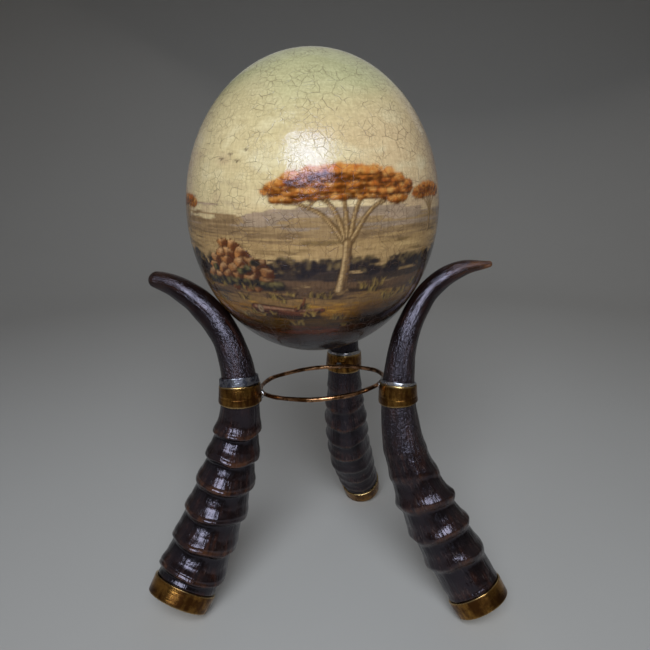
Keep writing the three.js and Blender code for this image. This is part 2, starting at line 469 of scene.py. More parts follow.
def paint_hills(canvas):
    """Two ranges of hills, the far one paler, each lit along its top and scored with dry-brush lines."""
    streak = smooth(canvas.field(0.02, 5, 7), 0.2, 1.2)
    for middle, swing, size, seed, paint, lit in (
        (0.0042, 0.0046, 0.060, 41, "96806a", "b1957a"),
        (-0.0026, 0.0038, 0.038, 52, "84694a", "a98a62"),
    ):
        below = canvas.skyline(middle, swing, size, seed)
        canvas.wash(paint, smooth(below, -0.0005, 0.0006))
        canvas.wash(lit, 0.7 * smooth(below, 0, 0.0006) * (1 - smooth(below, 0.001, 0.0045)))
        canvas.wash(lit, 0.5 * streak * smooth(below, 0, 0.002))


def paint_plain(canvas):
    """Dry grassland in level bands from straw to olive, down to the thicket."""
    band = canvas.field(0.03, 6, 9) + 0.6 * canvas.field(0.012, 7, 12)
    below = canvas.skyline(-0.0085, 0.0015, 0.03, 63)
    inside = smooth(below, 0, 0.002)
    canvas.wash(tone("b08e60") * canvas.plain, smooth(below, -0.0006, 0.0008))
    canvas.wash("6f5836", 0.75 * smooth(band, 0.2, 1.4) * inside)
    near = hump(canvas.place[..., 2], -0.014, 0.006)
    canvas.wash("cfab74", 0.8 * smooth(-band, 0.3, 1.5) * inside * near)


def paint_ground(canvas):
    """Bare earth under the thicket, then ochre ground that darkens in level strokes to the egg's foot;
    the lowest bands are partly painted shade where the light falls off under the egg.
    """
    height = canvas.place[..., 2]
    strokes = canvas.field(0.034, 8, 8) + 0.6 * canvas.field(0.013, 9, 8)
    strokes = strokes + 0.3 * canvas.field(0.007, 10, 16)
    for paint, top, full in GROUND_BANDS:
        canvas.wash(tone(paint) * canvas.ground, smooth(-height - 0.0016 * strokes, -top, -full))
    light_strokes = smooth(-strokes, 0.2, 1.4)
    canvas.wash("2b1f14", 0.7 * smooth(strokes, 0.35, 1.5) * smooth(-height, 0.030, 0.036))
    canvas.wash("c8923c", 0.75 * light_strokes * hump(height, -0.041, 0.006))
    canvas.wash("6a3014", 0.6 * light_strokes * hump(height, -0.0555, 0.006))
    canvas.wash("0d0a09", 0.93 * canvas.beyond(8, 30) * hump(height + 0.002 * strokes, -0.0475, 0.0090))


def paint_bush(canvas, at, size, rng, dark, light, count):
    """A bush: dark touches that thin out towards its edge, and lighter ones on its upper left."""
    for _ in range(count):
        turn, reach = rng.uniform(0, 2 * pi), sqrt(rng.uniform(0, 1))
        right, up = size[0] * reach * cos(turn), size[1] * reach * sin(turn)
        glint = 0.5 + 0.5 * (0.75 * up / size[1] - 0.45 * right / size[0])
        lit = rng.uniform(0, 1) < 0.55 * glint ** 2
        paint = tone(light) * rng.uniform(0.7, 1.15) if lit else tone(dark) * rng.uniform(0.7, 1.4)
        touch = rng.uniform(0.0005, 0.0011)
        canvas.dab(shifted(at, right, up), (touch * 1.5, touch), rng.uniform(-50, 60), paint, 0.85)


def paint_thicket(canvas):
    """A belt of dark scrub round the egg, leafy along its top and in shadow below."""
    rng = np.random.default_rng(71)
    height = canvas.place[..., 2]
    top = canvas.skyline(-0.0215, 0.0026, 0.026, 74)
    rough = 0.0006 * canvas.field(0.003, 75)
    body = smooth(top + rough, -0.0004, 0.0008) * (1 - smooth(-height + rough, 0.0285, 0.0305))
    canvas.wash("2c2320", 0.95 * body)
    canvas.wash("4b3b32", 0.6 * body * smooth(canvas.field(0.016, 76, 6), 0.2, 1.3))
    for azimuth in np.arange(-176, 176, 5.5):
        at = azimuth + rng.uniform(-2, 2), rng.uniform(-0.0235, -0.0195)
        size = rng.uniform(0.0032, 0.0062), rng.uniform(0.0018, 0.0036)
        paint_bush(canvas, at, size, rng, "241d1c", "75603f", 46)


# The outcrop's outline: its height at each place across it, in shares of its size.
OUTCROP_ACROSS = (-1.05, -0.97, -0.75, -0.50, -0.22, 0.06, 0.30, 0.52, 0.80, 0.97, 1.05)
OUTCROP_UP = (-1, 0.20, 0.48, 0.66, 0.95, 1.0, 0.82, 0.60, 0.42, 0.16, -1)
BLOCKS_HIGH = 5.4


def paint_outcrop(canvas, at, size, rng):
    """A weathered outcrop that stands on at, size being half its width and its height. Its blocks are the
    cells round scattered points: each place belongs to its nearest point, and a cell is rock where its
    point lies under the outline. A block has a pale top, a warm left face and a dark right one, and dark
    gaps round it."""
    wide, tall = size
    canvas.dab(shifted(at, 0.35 * wide, -0.03 * tall), (1.05 * wide, 0.11 * tall), -2, "241b15", 0.75)
    part, right, up = canvas.window(at, 1.2 * max(size))
    place = canvas.place[part]
    seed = int(rng.integers(1000))
    right = right + 0.0006 * uneven(place, 0.005, seed)
    up = up + 0.0005 * uneven(place, 0.005, seed + 1)
    block = tall / BLOCKS_HIGH
    pitch = np.array([1.60, 0.92]) * block
    across = np.arange(-1.2 * wide, 1.2 * wide, pitch[0])
    upwards = np.arange(-0.2 * tall, 1.2 * tall, pitch[1])
    spots = np.stack(np.meshgrid(across, upwards), -1)
    spots[1::2, :, 0] += pitch[0] / 2
    spots = spots.reshape(-1, 2)
    spots = spots + rng.uniform(-0.27, 0.27, spots.shape) * pitch
    outline = np.interp(spots[:, 0] / wide, OUTCROP_ACROSS, OUTCROP_UP) * tall
    rock = (spots[:, 1] < outline) & (spots[:, 1] > -0.06 * tall)
    apart = np.hypot((right[..., None] - spots[:, 0]) / 1.55, up[..., None] - spots[:, 1])
    nearest = apart.argmin(-1)
    closest = np.partition(apart, 1, axis=-1)
    gap = closest[..., 1] - closest[..., 0]
    x, y = (right - spots[nearest, 0]) / block, (up - spots[nearest, 1]) / block
    faces = np.stack([y - 0.15 * x - 0.08, -0.75 * x - 0.10, 0.7 * x - 0.35 * y + 0.02], -1)
    share = np.exp(8 * (faces + 0.06 * uneven(place, 0.002, seed + 2)[..., None]))
    share /= share.sum(-1, keepdims=True)
    stone = canvas.stone
    paints = np.array([stone * 0.85 + (0.18, 0.155, 0.09), stone * 0.85, stone * (0.22, 0.16, 0.14)])
    paint = share @ paints * rng.uniform(0.72, 1.12, len(spots))[nearest][..., None]
    shade = 1 - 0.42 * smooth(right / wide - 0.3 * up / tall, -0.15, 0.8)
    paint = paint * (shade * (1 + 0.10 * uneven(place, 0.0024, seed + 3)))[..., None]
    cover = rock[nearest] * 1.0
    canvas.touch(part, paint, cover)
    canvas.touch(part, stone * (0.10, 0.08, 0.09), 0.85 * cover * (1 - smooth(gap, 0.0001, 0.0008)))
    for _ in range(4):
        across = rng.uniform(-0.8, 0.8)
        ledge = np.interp(across, OUTCROP_ACROSS, OUTCROP_UP) * rng.uniform(0.25, 0.85)
        spot = shifted(at, across * wide, ledge * tall)
        paint_bush(canvas, spot, (0.0014, 0.0006), rng, "241f18", "74683c", 20)
    for across in np.linspace(-1.05, 1.05, 9):
        spot = shifted(at, across * wide, rng.uniform(-0.04, 0.03) * tall)
        paint_bush(canvas, spot, (rng.uniform(0.0022, 0.0034), 0.0013), rng, "241f1a", "7a6a3e", 34)


# In shares of an acacia's height: where its limbs fork, where they end, and how high each layer of its
# crown lies and how far it reaches to each side.
FORK = (0.03, 0.40)
LIMB_ENDS = (-0.50, 0.74), (-0.28, 0.82), (-0.04, 0.86), (0.22, 0.84), (0.50, 0.78)
CROWN = (0.745, 0.50), (0.795, 0.57), (0.840, 0.55), (0.880, 0.48), (0.915, 0.38), (0.940, 0.25)
LEAVES_PER_AREA = 4.5e6
# The least light at which each layer of touches is painted: dark, russet and gold.
LEAF_LIGHT = (-9, -0.16, 0.24)


def paint_wood(canvas, at, tall, rng):
    """An acacia's limbs, twigs, roots and trunk, each outlined, lit on the left, shaded on the right."""
    fork = np.array(FORK) * tall
    wide = 0.070 * tall

    def limb(points, widths):
        """One limb: its outline and its wood, then its shaded side and its lit side, each narrower."""
        points, widths = np.array(points), np.array(widths) * wide
        for aside, share, extra, paint, strength in (
            (0, 1, 0.015 * tall, (0.12, 0.09, 0.06), 1), (0, 1, 0, (0.42, 0.36, 0.28), 1),
            (0.30, 0.34, 0, (0.17, 0.13, 0.10), 0.85), (-0.20, 0.36, 0, (0.98, 0.92, 0.80), 0.9),
        ):
            line = points + (aside * widths[0], 0)
            canvas.stroke(at, line, share * widths + extra, canvas.wood * paint, strength)

    for end in np.array(LIMB_ENDS) * tall:
        bend = fork + (end - fork) * (0.42, 0.62) + (0, 0.02 * tall)
        limb([fork - (0, 0.03 * tall), bend, end], [0.62, 0.34, 0.14])
        for share, side in ((0.55, 1), (0.7, -1)):
            start = bend + (end - bend) * share * 0.6
            tip = start + np.array([side * 0.11, 0.10]) * tall
            limb([start, (start + tip) / 2 + (0, 0.01 * tall), tip], [0.2, 0.14, 0.08])
    for right in (-0.060, 0.055):
        limb(np.array([(0, 0.045), (right * 0.6, 0.006), (right, -0.010)]) * tall, [0.5, 0.35, 0.10])
    limb([(-0.010 * tall, -0.004 * tall), (0.012 * tall, 0.18 * tall), fork], [1.30, 0.86, 0.78])
    for up in np.linspace(0.03, 0.36, 9):
        mark = np.array([rng.uniform(-0.3, 0.2) * wide + 0.05 * up * tall, up * tall])
        line = mark + np.array([(0, 0), (0.2, 0.1), (0.42, 0)]) * wide
        widths = np.array([0.004, 0.009, 0.004]) * tall
        canvas.stroke(at, line, widths, canvas.wood * (0.16, 0.12, 0.09), 0.7)


def paint_clump(canvas, at, size, level, drop, rng):
    """A clump of leaves, lit from the upper left, the dark ones hanging a drop lower. Higher levels of
    the crown are lighter."""
    leaves, gold = canvas.leaves, tone("dcab62")
    count = int(LEAVES_PER_AREA * size[0] * size[1]) + 3
    for layer, least in enumerate(LEAF_LIGHT):
        for _ in range(count):
            turn, out = rng.uniform(0, 2 * pi), rng.uniform(0, 1) ** 0.55
            x, y = out * cos(turn), out * sin(turn)
            light = 0.58 * y - 0.26 * x + rng.normal(0, 0.20)
            if light < least:
                continue
            if layer == 0:
                paint = leaves * rng.uniform(0.07, 0.20)
            elif layer == 1:
                bright = np.clip(0.50 + 0.70 * light + 0.04 * level, 0.15, 1.05)
                paint = leaves * bright * rng.uniform(0.8, 1.15, 3)
            else:
                paint = leaves + (gold - leaves) * rng.uniform(0.0, 0.8)
            up = y * size[1] * (0.7 if y < 0 else 1.0) - drop * (layer == 0)
            touch = rng.uniform(0.00042, 0.00082)
            spot = shifted(at, x * size[0], up)
            canvas.dab(spot, (touch * 1.5, touch * 0.8), rng.uniform(-40, 50), paint, 0.9)


def paint_acacia(canvas, at, tall, rng):
    """A flat-topped acacia and its shadow. Limbs fan out from a fork to the crown, which is small clumps
    of leaves in layers: dark below, russet between and gold on top."""
    canvas.dab(shifted(at, 0.17 * tall, -0.012 * tall), (0.26 * tall, 0.020 * tall), -3, "1c150f", 0.75)
    paint_wood(canvas, at, tall, rng)
    for level, (up, reach) in enumerate(CROWN):
        for place in np.linspace(-reach, reach, 2 + int(reach / 0.05)):
            arch = 0.024 * (1 - (place / reach) ** 2)
            right, high = place + rng.uniform(-0.03, 0.03), up + arch + rng.uniform(-0.018, 0.014)
            size = rng.uniform(0.055, 0.105) * tall, rng.uniform(0.026, 0.040) * tall
            paint_clump(canvas, shifted(at, right * tall, high * tall), size, level, 0.010 * tall, rng)


def paint_log(canvas, at):
    """A fallen trunk with a stub of a branch, and its shadow."""
    bark = tone("84492a")
    canvas.dab(shifted(at, 0.001, -0.0028), (0.0172, 0.0017), -2, "1d150f", 0.85)
    body = [(-0.0160, 0.0006), (-0.006, 0.0002), (0.006, -0.0005), (0.0160, 0.0009)]
    for up, widths, paint, strength in (
        (0, (0.0056, 0.0052, 0.0042, 0.0020), bark * 0.10, 1),
        (0, (0.0044, 0.0040, 0.0030, 0.0010), bark * 0.75, 1),
        (-0.0011, (0.0016, 0.0014, 0.0010, 0.0004), bark * 0.25, 0.8),
        (0.0011, (0.0012, 0.0011, 0.0008, 0.0004), bark + (0.16, 0.13, 0.08), 1),
    ):
        canvas.stroke(shifted(at, 0, up), body, widths, paint, strength)
    for right in (-0.011, -0.0065, -0.001, 0.005, 0.010):
        knot = [(right, 0.0002), (right + 0.0012, 0.0004), (right + 0.0026, 0.0001)]
        canvas.stroke(at, knot, [0.0003, 0.0006, 0.0003], bark * 0.2, 0.8)
    branch = [(0.004, 0.0010), (0.0072, 0.0036), (0.0086, 0.0068)]
    canvas.stroke(at, branch, [0.0022, 0.0016, 0.0008], bark * 0.12)
    canvas.stroke(shifted(at, -0.0002, 0.0002), branch, [0.0010, 0.0007, 0.0003], bark * 0.9)
    sawn_end = shifted(at, -0.0160, 0.0006)
    for size, paint in (
        ((0.0023, 0.0016), bark * 0.12), ((0.0018, 0.0012), canvas.wood * 0.8),
        ((0.0009, 0.0006), bark * 0.4),
    ):
        canvas.dab(sawn_end, size, 90, paint)


def paint_grass(canvas, rng):
    """Tufts of grass: fans of short upward strokes, dark ones first and straw-coloured ones over them."""
    azimuth = -174.0
    while azimuth < 172:
        azimuth += rng.uniform(1.5, 7.5)
        at = azimuth, rng.uniform(-0.0520, -0.0310)
        full = rng.uniform(0.5, 1.2)
        for number in range(int(20 * full)):
            lean = rng.normal(0, 0.0015)
            tall = rng.uniform(0.0012, 0.0034) * full
            root = rng.normal(0, 0.0016) * full
            dark = number < 13 * full
            paint, light = (tone("2c2015"), (0.6, 1.4)) if dark else (tone("b4924a"), (0.45, 1.0))
            line = [(root, 0), (root + 0.4 * lean, 0.6 * tall), (root + lean, tall)]
            canvas.stroke(at, line, [0.0006, 0.00045, 0.0002], paint * rng.uniform(*light), 0.7)


def paint_birds(canvas, at):
    """A few birds far off, each two curved strokes."""
    flock = (0, 0, 1.0), (0.0052, 0.0022, 0.8), (0.0096, -0.0008, 0.9), (0.0138, 0.0040, 0.6)
    for right, up, size in flock:
        for side in (-1, 1):
            wing = np.array([(0, 0), (side * 0.0007, 0.0007), (side * 0.0018, 0.0003)]) * size
            canvas.stroke(shifted(at, right, up), wing, [0.0006, 0.0005, 0.0003], "3d2c24", 0.85)


def paint_landscape(canvas):
    """The whole picture, from the back forwards."""
    rng = np.random.default_rng(5)
    paint_sky(canvas)
    paint_hills(canvas)
    paint_plain(canvas)
    for at, tall in (
        ((-66, -0.009), 0.017), ((58, -0.008), 0.021), ((120, -0.009), 0.018), ((-120, -0.010), 0.022)
    ):
        paint_acacia(canvas, at, tall, rng)
    paint_thicket(canvas)
    paint_ground(canvas)
    for at, size in ((-34, -0.0300), (0.0200, 0.0215)), ((150, -0.0290), (0.0230, 0.0250)):
        paint_outcrop(canvas, at, size, rng)
    for at, tall in ((13, -0.0320), 0.054), ((-158, -0.0330), 0.050), ((98, -0.0310), 0.040):
        paint_acacia(canvas, at, tall, rng)
    paint_log(canvas, (-12, -0.0430))
    paint_grass(canvas, rng)
    for at in (-40, 0.0240), (170, 0.0240):
        paint_birds(canvas, at)


# Finishes

class Value:
    """A node's output. With +, * and | a new node gives the sum, the product or the larger of two."""

    def __init__(self, finish, socket):
        self.finish, self.socket = finish, socket

    def math(self, operation, other):
        return self.finish.add("Math", {0: self, 1: other}, operation=operation)

    def __add__(self, other):
        return self.math("ADD", other)

    def __mul__(self, other):
        return self.math("MULTIPLY", other)

    def __or__(self, other):
        return self.math("MAXIMUM", other)


class Finish:
    """A material's nodes. Most calls add a node and return its output."""

    def __init__(self, name, **constants):
        self.material = bpy.data.materials.new(name)
        self.material.use_nodes = True
        self.tree = self.material.node_tree
        self.tree.nodes.clear()
        self.shader = self.tree.nodes.new("ShaderNodeBsdfPrincipled")
        end = self.tree.nodes.new("ShaderNodeOutputMaterial")
        self.tree.links.new(self.shader.outputs[0], end.inputs[0])
        self.give(self.shader, {name.replace("_", " "): value for name, value in constants.items()})

    def give(self, node, inputs):
        """Links each input that is given a node's output, and sets the others on their sockets."""
        for name, value in inputs.items():
            socket = node.inputs[name]
            if isinstance(value, Value):
                self.tree.links.new(value.socket, socket)
            elif value is not None:
                socket.default_value = (*value, 1) if socket.type == "RGBA" else value

    def add(self, kind, inputs=None, output=0, **settings):
        """A new node with those settings and inputs; its output of that number or name."""
        node = self.tree.nodes.new("ShaderNode" + kind)
        for name, value in settings.items():
            setattr(node, name, value)
        self.give(node, inputs or {})
        return Value(self, node.outputs[output])

    def scaled(self, vector, size):
        """The vector divided by size, so a pattern on it is about size across."""
        scale = [1 / each for each in np.broadcast_to(size, 3)]
        return self.add("Mapping", {"Vector": vector, "Scale": scale})

    def attribute(self, name, output="Fac"):
        """What the mesh says at each point under that name."""
        return self.add("Attribute", output=output, attribute_name=name)

    def noise(self, size, along=None, detail=3.0, roughness=0.55, distortion=0.0):
        """Noise about size across along each axis, on the object's own coordinates or the given ones."""
        place = self.scaled(along or self.add("TexCoord", output="Object"), size)
        inputs = {"Vector": place, "Scale": 1.0, "Detail": detail, "Roughness": roughness}
        return self.add("TexNoise", {**inputs, "Distortion": distortion})

    def sift(self, value, low, high, to_low=0.0, to_high=1.0):
        """to_low where value is under low, to_high where it is over high, an S-shaped climb between."""
        inputs = {"Value": value, "From Min": low, "From Max": high, "To Min": to_low, "To Max": to_high}
        return self.add("MapRange", inputs, interpolation_type="SMOOTHSTEP")

    def mix(self, share, a, b, blend="MIX"):
        """Colour a where share is 0 and b blended over it where share is 1."""
        return self.add("Mix", {0: share, 6: a, 7: b}, output=2, data_type="RGBA", blend_type=blend)

    def relief(self, *layers):
        """The normal of a skin that stands up by each (height, depth) in turn."""
        normal = None
        for height, depth in layers:
            inputs = {"Height": height, "Distance": depth, "Strength": 1.0, "Normal": normal}
            normal = self.add("Bump", inputs)
        return normal

    def done(self, colour, roughness, *layers):
        """Joins the colour, roughness and relief to the shader, and returns the material."""
        normal = self.relief(*layers)
        self.give(self.shader, {"Base Color": colour, "Roughness": roughness, "Normal": normal})
        return self.material


def crackle(finish, skin, size, width):
    """The cracks of dried varnish: the walls between the cells of a warped Voronoi pattern."""
    place = finish.scaled(skin, (size * 1.15, size, size))
    warp = finish.add("TexNoise", {"Vector": place, "Scale": 1.3, "Detail": 2.0}, output="Color")
    bent = finish.add("VectorMath", {0: warp, 1: (0.45, 0.45, 0.0)}, operation="MULTIPLY")
    cells = {"Vector": finish.add("VectorMath", {0: place, 1: bent}, operation="ADD"), "Scale": 1.0}
    edge = finish.add("TexVoronoi", cells, feature="DISTANCE_TO_EDGE", voronoi_dimensions="2D")
    return finish.sift(edge, width * 0.35, width, 1.0, 0.0)


def varnished_paint(colours):
    """The painting under an old crackled varnish: brush streaks, brown cracks and a satin gloss."""
    tint = (0.64, 0.70, 1.0)
    finish = Finish("Varnished painting", IOR=1.5, Specular_IOR_Level=0.46, Specular_Tint=tint)
    noise, sift = finish.noise, finish.sift
    skin = finish.add("Mix", {
        0: finish.attribute("front").math("GREATER_THAN", 0.5),
        4: finish.attribute("skin_back", "Vector"), 5: finish.attribute("skin_front", "Vector"),
    }, output=1, data_type="VECTOR")
    wide, middle, fine = (
        crackle(finish, skin, colours.crackle * size, width)
        for size, width in ((1, 0.030), (0.55, 0.055), (0.28, 0.09))
    )
    wide = wide * sift(noise(0.015), 0.36, 0.62, 0.12, 1.0) * sift(noise(0.004), 0.38, 0.60, 0.15, 1.0)
    middle = middle * sift(noise(0.0095), 0.42, 0.60) * 0.7
    fine = fine * sift(noise(0.013), 0.46, 0.66) * 0.4
    cracks = wide | middle | fine
    streaks = noise((0.0011, 0.0011, 0.014), detail=4.0)
    weave = noise((0.006, 0.006, 0.0009), detail=2.0)
    brush = streaks * 0.6 + weave * 0.4
    painting = finish.attribute("painting", "Color")
    light = finish.mix(sift(brush, 0.3, 0.7, 0.0, 0.3), painting, (1.0, 0.97, 0.86), "SOFT_LIGHT")
    dark = finish.mix(sift(brush, 0.7, 0.3, 0.0, 0.25), light, (0.42, 0.36, 0.27), "MULTIPLY")
    colour = finish.mix(cracks * colours.crackle_depth, dark, colours.crack)
    roughness = sift(noise(0.007), 0.3, 0.7, 0.07, 0.13) + cracks * 0.25
    lumps = noise(0.0042, detail=2.0)
    return finish.done(colour, roughness, (lumps, 0.00016), (brush, 0.00006), (cracks, -0.00010))


def polished_horn(colours):
    """Dark horn: reddish streaks along the fibres, brown ridge lips, pale scratches, a warm tip and
    painted shade in the grooves.
    """
    finish = Finish("Polished horn", IOR=1.5, Specular_IOR_Level=0.54, Specular_Tint=(0.86, 0.80, 1.0))
    noise, sift = finish.noise, finish.sift
    grain = finish.attribute("grain", "Vector")
    fibre, scaly, groove = (finish.attribute(name) for name in ("fibre", "scaly", "groove"))
    streaks = noise((0.0016, 0.0016, 0.02), grain, detail=4.0, distortion=0.5)
    mottle = noise((0.006, 0.006, 0.009), grain, detail=4.0)
    streaky = sift(streaks, 0.42, 0.70) * sift(mottle, 0.38, 0.66, 0.1, 1.0)
    broken = sift(mottle, 0.38, 0.62, 0.06, 1.0) * sift(streaks, 0.3, 0.6, 0.3, 1.0)
    scratches = sift(noise((0.0004, 0.0004, 0.0032), grain, detail=2.0), 0.54, 0.70)
    scratches = scratches * sift(mottle, 0.40, 0.60) * sift(fibre | scaly, 0.0, 1.0, 0.10, 0.6)
    tip = finish.attribute("tip") * sift(mottle, 0.40, 0.62, 0.25, 1.0)
    colour = finish.mix(streaky, colours.dark, colours.streak)
    for share, paint in (
        (finish.attribute("lip") * broken, colours.lip), (scratches, colours.scratch),
        # The last entry is painted shade: the grooves between the ridges mixed towards near-black.
        (tip, colours.tip), (groove * 0.85, (0.002, 0.0014, 0.0013)),
    ):
        colour = finish.mix(share, colour, paint)
    threads = noise((0.0009, 0.0009, 0.011), grain)
    scales = noise((0.0026, 0.0026, 0.0060), grain, detail=4.0, roughness=0.6)
    flakes = noise((0.0019, 0.0019, 0.0012), grain)
    roughness = sift(threads, 0.3, 0.7, 0.13, 0.23) + fibre * 0.03 + scaly * 0.10
    deeper = fibre * 0.00016
    layers = (scales, deeper + 0.00032), (flakes, scaly * 0.00110), (threads, deeper + 0.00018)
    return finish.done(colour, roughness, *layers)


def aged_brass(colours):
    """Brass with fine polishing marks round the horn, soft brown tarnish, and a painted highlight along
    its edges.
    """
    finish = Finish("Aged brass", Metallic=1.0)
    noise, sift = finish.noise, finish.sift
    grain = finish.attribute("grain", "Vector")
    stains = noise((0.0018, 0.0018, 0.008), grain, detail=4.0, roughness=0.6)
    blotch = noise(0.0075, grain, detail=4.0, roughness=0.6)
    tarnish = sift(blotch * 0.6 + stains * 0.4, 0.36, 0.60)
    specks = sift(noise(0.0012, grain), 0.62, 0.74, 0.0, 0.5)
    colour = finish.mix(tarnish, colours.brass, colours.tarnish)
    colour = finish.mix(specks, colour, colours.tarnish)
    # A painted highlight: a light brass colour along the rims and lower edges.
    colour = finish.mix(finish.attribute("edge") * 0.8, colour, colours.edge_highlight)
    dents = noise(0.004, grain, detail=2.0)
    marks = noise((0.012, 0.012, 0.00030), grain, detail=2.0)
    return finish.done(colour, sift(tarnish, 0.0, 1.0, 0.19, 0.34), (dents, 0.00005), (marks, 0.00012))


def blotchy_metal(name, bright, dull, blotches, share, gloss, lumps, depth):
    """Metal that is bright in places and dull in others, with a lumpy skin. blotches and lumps are each a
    noise's (size, detail), share is where a blotch starts and ends, and gloss the least and most
    roughness."""
    finish = Finish(name, Metallic=1.0)
    blotch, lump = (finish.noise(size, detail=detail) for size, detail in (blotches, lumps))
    colour = finish.mix(finish.sift(blotch, *share), bright, dull)
    return finish.done(colour, finish.sift(blotch, 0.35, 0.65, *gloss), (lump, depth))


def run_solder(name, bright, dull):
    """White metal run on by hand, with a lumpy skin."""
    return blotchy_metal(
        name, bright, dull, blotches=(0.0022, 4.0), share=(0.40, 0.62), gloss=(0.22, 0.42),
        lumps=(0.0013, 3.0), depth=0.00014,
    )


def coppery_wire(colours):
    """Drawn wire, handled bright, with darker stretches."""
    return blotchy_metal(
        "Coppery wire", colours.wire, colours.tarnish, blotches=(0.006, 3.0), share=(0.42, 0.64),
        gloss=(0.18, 0.34), lumps=(0.0016, 2.0), depth=0.00005,
    )


def pale_floor(colours):
    """A plain pale studio floor with the faintest mottling."""
    finish = Finish("Pale floor")
    share = finish.sift(finish.noise(0.25), 0.3, 0.7, 0.0, 0.12)
    return finish.done(finish.mix(share, colours.floor, (0.54, 0.53, 0.50)), 0.75)


# Pieces

# The grids. The egg's gaps between rows and between columns are in radians, first on the picture's rows
# and front and then elsewhere, and its rows start and end a little way from the poles.
EGG_ROW_GAPS = (0.0094, 0.021)
EGG_COLUMN_GAPS = (0.0098, 0.0265)
EGG_POLE = 0.012
PICTURE_ROWS = (0.4, 2.05)
PICTURE_FRONT = radians(72)
HORN_ROW_GAP = 0.00058
HORN_COLUMNS = 196
BAND_COLUMNS = 168
RING_GRID = (288, 28)
BEAD_GRID = (40, 56)

# The shape of a ridge, in shares of the way from its foot to the next one's: how far up its place in LEGS
# is, where its lip starts and ends, its crease, where its swell goes down and where it sinks to the foot.
RIDGE_PLACE = 0.29
LIP_START = (0.02, 0.10)
LIP_END = (0.26, 0.38)
CREASE_PLACE = 0.295
SWELL = (0.31, 0.62)
SINK = (0.58, 0.97)
THREAD_GAP = 0.0016


def skin_maps(canvas):
    """Two flat maps of the shell, one from the middle of the front and one from the middle of the back:
    each place's angle from that middle, times the shell's mean radius, in the direction it lies."""
    way = canvas.place / np.linalg.norm(canvas.place, axis=-1, keepdims=True)
    maps = {"front": smooth(-way[..., 1], -0.01, 0.01)[..., None]}
    for name, side in (("skin_front", -1), ("skin_back", 1)):
        away = np.arccos(np.clip(side * way[..., 1], -1, 1)) * SKIN_RADIUS
        across = np.hypot(way[..., 0], way[..., 2]) + 1e-9
        right, up = (away * way[..., axis] / across for axis in (0, 2))
        maps[name] = np.stack([right, up, 0 * away + side], -1)
    return maps


def make_egg(settings):
    """A surface of revolution: at angle t from its foot its radius is half the width times sin t times
    (1 + narrowing cos t), and its height is minus half the height times cos t."""
    low, high = (np.array(corner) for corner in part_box("egg"))
    centre, half = (low + high) / 2, (high - low) / 2
    fine, coarse = EGG_ROW_GAPS
    first, last = PICTURE_ROWS
    rows = spaced(EGG_POLE, pi - EGG_POLE, lambda t: np.where((t > first) & (t < last), fine, coarse))
    front, behind = EGG_COLUMN_GAPS
    azimuth = spaced(-pi, pi, lambda a: np.where(np.abs(a) < PICTURE_FRONT, front, behind))[:-1]
    radius = max(half[:2]) * np.sin(rows) * (1 + EGG_NARROWING * np.cos(rows))
    canvas = Canvas(azimuth, -half[2] * np.cos(rows), radius, settings)
    paint_landscape(canvas)
    painting = np.clip(canvas.colour, 0.0, 1.0)
    painting = np.concatenate([painting, np.ones(painting.shape[:2] + (1,))], -1)
    values = {"painting": painting, **skin_maps(canvas)}
    piece = surface("painted_egg", canvas.place + centre, "closed", values)
    hand_over(piece, varnished_paint(settings), "painted_shell", "egg")


def ridge_relief(leg, distance, angle):
    """The growth rings. Each rises steeply to a narrow lip, and over a crease to a wider swell that sinks
    slowly to the next ring's foot. They stand out most on the knobbed side. Returns the relief, how near
    each place is to a lip, how deep it is in a groove, and how far it is on the knobbed side."""
    around = np.stack([np.cos(angle), np.sin(angle), distance / 0.022], -1)
    waver = 0.0010 * uneven(around, 2.2, leg.seed) + 0.0004 * uneven(around, 0.8, leg.seed + 1)
    places, shares = np.array(leg.ridges).T
    moved = distance + waver + leg.droop[1] * hump(away_from(angle, leg.droop[0]), 0, 52)
    beyond = np.minimum(moved - places[0], 0) + np.maximum(moved - places[-1], 0)
    number = np.interp(moved, places, np.arange(len(places))) + beyond / leg.pitch
    # up goes from 0 at a ring's foot to 1 at the next one's.
    up = ((number + RIDGE_PLACE) % 1) ** leg.lip
    rise = smooth(up, 0.0, leg.under)
    straight = np.clip((up - SWELL[0]) / (SWELL[1] - SWELL[0]), 0, 1)
    body = rise - 0.68 * (0.5 * straight + 0.5 * smooth(up, *SWELL)) - 0.32 * smooth(up, *SINK)
    lip = smooth(up, *LIP_START) * (1 - smooth(up, *LIP_END))
    crease = hump(up, CREASE_PLACE + 0.015 * uneven(around, 1.2, leg.seed + 6), 0.026)
    profile = body + 0.05 * hump(up, 0.18, 0.06) - leg.crease * crease
    above_cap = smooth(distance, CAP_HEIGHT - 0.001, CAP_HEIGHT + 0.003)
    last = len(places) - 1
    grown = above_cap * np.interp(number, [*range(last + 1), last + 0.6], [*shares, 0])
    knob = hump(away_from(angle, leg.knob), 0, leg.knob_width)
    vary = 1 + 0.16 * uneven(around, 1.9, leg.seed + 2)
    strength = np.clip(grown * vary * (leg.even + (1 - leg.even) * knob), 0, 1.3)
    threads = hump(up, 0.24, 0.15) * np.sin(2 * pi * (distance + 0.6 * waver) / THREAD_GAP)
    relief = leg.ridge * strength * profile + 0.00004 * strength * threads
    meet = 0.0008 * hump(distance, CAP_HEIGHT + 0.0008, 0.0022)
    relief = np.maximum(relief, meet * smooth(distance, CAP_HEIGHT - 0.0002, CAP_HEIGHT + 0.0005))
    # Painted shade goes where this is high: deep in the grooves between the ridges.
    groove = (smooth(up, 0.62, 0.90) + 1 - rise) * grown
    return relief, lip * grown, np.clip(groove, 0, 1), knob * body * grown


